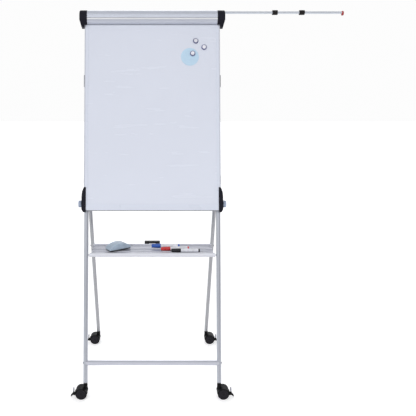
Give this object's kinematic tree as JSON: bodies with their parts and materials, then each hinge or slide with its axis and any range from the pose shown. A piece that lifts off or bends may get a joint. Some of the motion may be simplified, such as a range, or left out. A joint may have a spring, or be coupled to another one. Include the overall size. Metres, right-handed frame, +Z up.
{
  "type": "flipchart easel",
  "caption": "Mobile flipchart easel: folding tube frames on braked castors, sliding white board, clamp header, pull-out side arm and hinged pen tray.",
  "frame": {"origin": "on the floor, midway between the front and the rear leg lines and midway between the left and right legs", "axes": "+X to the right of a person facing the board, +Y from the front legs to the rear legs, +Z up"},
  "size_m": [1.4037, 0.667, 1.938],
  "materials": {
    "leg_aluminium": "satin anodised tube",
    "tray_aluminium": "satin anodised extrusion",
    "header_aluminium": "brushed anodised extrusion",
    "frame_aluminium": "satin anodised, light",
    "steel": "zinc plated",
    "bracket_plastic": "fine grained moulding",
    "board_white": "smooth enamel",
    "board_filling": "honeycomb board",
    "back_sheet": "matt coated",
    "grip_black": "moulded",
    "strip_rubber": "matt",
    "arm_metal": "satin anodised tube",
    "tip_red": "moulded",
    "knob_grey": "moulded",
    "magnet_chrome": "polished",
    "card_blue": "soft sheet",
    "marker_body": "smooth",
    "eraser_body": "moulded",
    "castor_plastic": "moulded",
    "wheel_rubber": "soft tread"
  },
  "bodies": {
    "front_frame": {"front_leg_left": "leg_aluminium", "front_leg_right": "leg_aluminium", "front_crossbar": "leg_aluminium", "crossbar_bolts": "steel", "tray_pivot_pins": "steel", "front_leg_sockets": "steel", "leg_top_plugs": "bracket_plastic", "hinge_bracket_left": "bracket_plastic", "hinge_bracket_right": "bracket_plastic", "hinge_pins": "steel"},
    "rear_frame": {"rear_leg_left": "leg_aluminium", "rear_leg_right": "leg_aluminium", "rear_crossbar": "leg_aluminium", "rear_crossbar_bolts": "steel", "rear_leg_sockets": "steel"},
    "tray": {"tray_pan": "tray_aluminium", "tray_lip": "tray_aluminium", "spreader_stay": "steel", "stay_rivets": "steel", "hook_grip": "grip_black", "markers": "marker_body", "eraser": "eraser_body"},
    "board": {"writing_sheet": "board_white", "board_core": "board_filling", "board_back": "back_sheet", "board_frame": "frame_aluminium", "side_bracket_left": "bracket_plastic", "side_bracket_right": "bracket_plastic", "upper_guide_left": "bracket_plastic", "upper_guide_right": "bracket_plastic", "guide_screws": "steel", "header_rail": "header_aluminium", "end_cap_left": "bracket_plastic", "end_cap_right": "bracket_plastic", "flap_leaf_springs": "steel", "magnets": "magnet_chrome", "round_card": "card_blue"},
    "flap": {"clamp_flap": "header_aluminium", "flap_grip_strip": "strip_rubber"},
    "hook_left": {"paper_hook_left": "grip_black"},
    "hook_right": {"paper_hook_right": "grip_black"},
    "arm": {"arm_rod": "arm_metal", "arm_shoe": "bracket_plastic", "arm_tip": "tip_red"},
    "clip_inner": {"arm_clip_inner": "grip_black"},
    "clip_outer": {"arm_clip_outer": "grip_black"},
    "knob_left": {"clamp_knob_left": "knob_grey"},
    "knob_right": {"clamp_knob_right": "knob_grey"},
    "castor_front_left": {"castor_hood_front_left": "castor_plastic"},
    "wheels_front_left": {"castor_wheels_front_left": "wheel_rubber"},
    "pedal_front_left": {"castor_pedal_front_left": "castor_plastic"},
    "castor_front_right": {"castor_hood_front_right": "castor_plastic"},
    "wheels_front_right": {"castor_wheels_front_right": "wheel_rubber"},
    "pedal_front_right": {"castor_pedal_front_right": "castor_plastic"},
    "castor_rear_left": {"castor_hood_rear_left": "castor_plastic"},
    "wheels_rear_left": {"castor_wheels_rear_left": "wheel_rubber"},
    "pedal_rear_left": {"castor_pedal_rear_left": "castor_plastic"},
    "castor_rear_right": {"castor_hood_rear_right": "castor_plastic"},
    "wheels_rear_right": {"castor_wheels_rear_right": "wheel_rubber"},
    "pedal_rear_right": {"castor_pedal_rear_right": "castor_plastic"}
  },
  "joints": [
    {"name": "board_height", "type": "slide", "parent": "front_frame", "child": "board", "axis": [0, 0.2504, 0.9681], "range_m": [-0.12, 0.055]},
    {"name": "rear_fold", "type": "hinge", "parent": "front_frame", "child": "rear_frame", "pos_m": [0, -0.01903, 1.07244], "axis": [-1, 0, 0], "range_deg": [0, 27]},
    {"name": "tray_fold", "type": "hinge", "parent": "front_frame", "child": "tray", "pos_m": [0, -0.14877, 0.70655], "axis": [1, 0, 0], "range_deg": [0, 76]},
    {"name": "flap_open", "type": "hinge", "parent": "board", "child": "flap", "pos_m": [0, 0.10439, 1.89316], "axis": [-1, 0, 0], "range_deg": [0, 55], "stiffness_Nm_per_rad": 0.6, "springref_deg": -17.19},
    {"name": "hook_left_slide", "type": "slide", "parent": "board", "child": "hook_left", "axis": [1, 0, 0], "range_m": [-0.08, 0.08]},
    {"name": "hook_right_slide", "type": "slide", "parent": "board", "child": "hook_right", "axis": [1, 0, 0], "range_m": [-0.08, 0.08]},
    {"name": "arm_extend", "type": "slide", "parent": "board", "child": "arm", "axis": [1, 0, 0], "range_m": [-0.535, 0]},
    {"name": "clip_inner_slide", "type": "slide", "parent": "arm", "child": "clip_inner", "axis": [1, 0, 0], "range_m": [0, 0.295]},
    {"name": "clip_outer_slide", "type": "slide", "parent": "arm", "child": "clip_outer", "axis": [1, 0, 0], "range_m": [0, 0.186]},
    {"name": "knob_left_turn", "type": "hinge", "parent": "board", "child": "knob_left", "pos_m": [0, -0.08312, 0.9604], "axis": [-1, 0, 0], "range_deg": [0, 360]},
    {"name": "knob_right_turn", "type": "hinge", "parent": "board", "child": "knob_right", "pos_m": [0, -0.08312, 0.9604], "axis": [1, 0, 0], "range_deg": [0, 360]},
    {"name": "castor_front_left_swivel", "type": "hinge", "parent": "front_frame", "child": "castor_front_left", "pos_m": [-0.339, -0.30922, 0.06], "axis": [0, 0, 1], "continuous": true},
    {"name": "wheels_front_left_roll", "type": "hinge", "parent": "castor_front_left", "child": "wheels_front_left", "pos_m": [-0.36, -0.30922, 0.029], "axis": [0, 1, 0], "continuous": true},
    {"name": "brake_front_left", "type": "hinge", "parent": "castor_front_left", "child": "pedal_front_left", "pos_m": [-0.3935, -0.30922, 0.02], "axis": [0, 1, 0], "range_deg": [0, 14]},
    {"name": "castor_front_right_swivel", "type": "hinge", "parent": "front_frame", "child": "castor_front_right", "pos_m": [0.339, -0.30922, 0.06], "axis": [0, 0, 1], "continuous": true},
    {"name": "wheels_front_right_roll", "type": "hinge", "parent": "castor_front_right", "child": "wheels_front_right", "pos_m": [0.36, -0.30922, 0.029], "axis": [0, 1, 0], "continuous": true},
    {"name": "brake_front_right", "type": "hinge", "parent": "castor_front_right", "child": "pedal_front_right", "pos_m": [0.3935, -0.30922, 0.02], "axis": [0, -1, 0], "range_deg": [0, 14]},
    {"name": "castor_rear_left_swivel", "type": "hinge", "parent": "rear_frame", "child": "castor_rear_left", "pos_m": [-0.334, 0.30385, 0.06], "axis": [0, 0, 1], "continuous": true},
    {"name": "wheels_rear_left_roll", "type": "hinge", "parent": "castor_rear_left", "child": "wheels_rear_left", "pos_m": [-0.355, 0.30385, 0.029], "axis": [0, 1, 0], "continuous": true},
    {"name": "brake_rear_left", "type": "hinge", "parent": "castor_rear_left", "child": "pedal_rear_left", "pos_m": [-0.3885, 0.30385, 0.02], "axis": [0, 1, 0], "range_deg": [0, 14]},
    {"name": "castor_rear_right_swivel", "type": "hinge", "parent": "rear_frame", "child": "castor_rear_right", "pos_m": [0.334, 0.30385, 0.06], "axis": [0, 0, 1], "continuous": true},
    {"name": "wheels_rear_right_roll", "type": "hinge", "parent": "castor_rear_right", "child": "wheels_rear_right", "pos_m": [0.355, 0.30385, 0.029], "axis": [0, 1, 0], "continuous": true},
    {"name": "brake_rear_right", "type": "hinge", "parent": "castor_rear_right", "child": "pedal_rear_right", "pos_m": [0.3885, 0.30385, 0.02], "axis": [0, -1, 0], "range_deg": [0, 14]}
  ],
  "couplings": [
    {"joint": "tray_fold", "follows": "rear_fold", "ratio": 2.8},
    {"joint": "clip_inner_slide", "follows": "arm_extend", "ratio": -0.55},
    {"joint": "clip_outer_slide", "follows": "arm_extend", "ratio": -0.345}
  ]
}
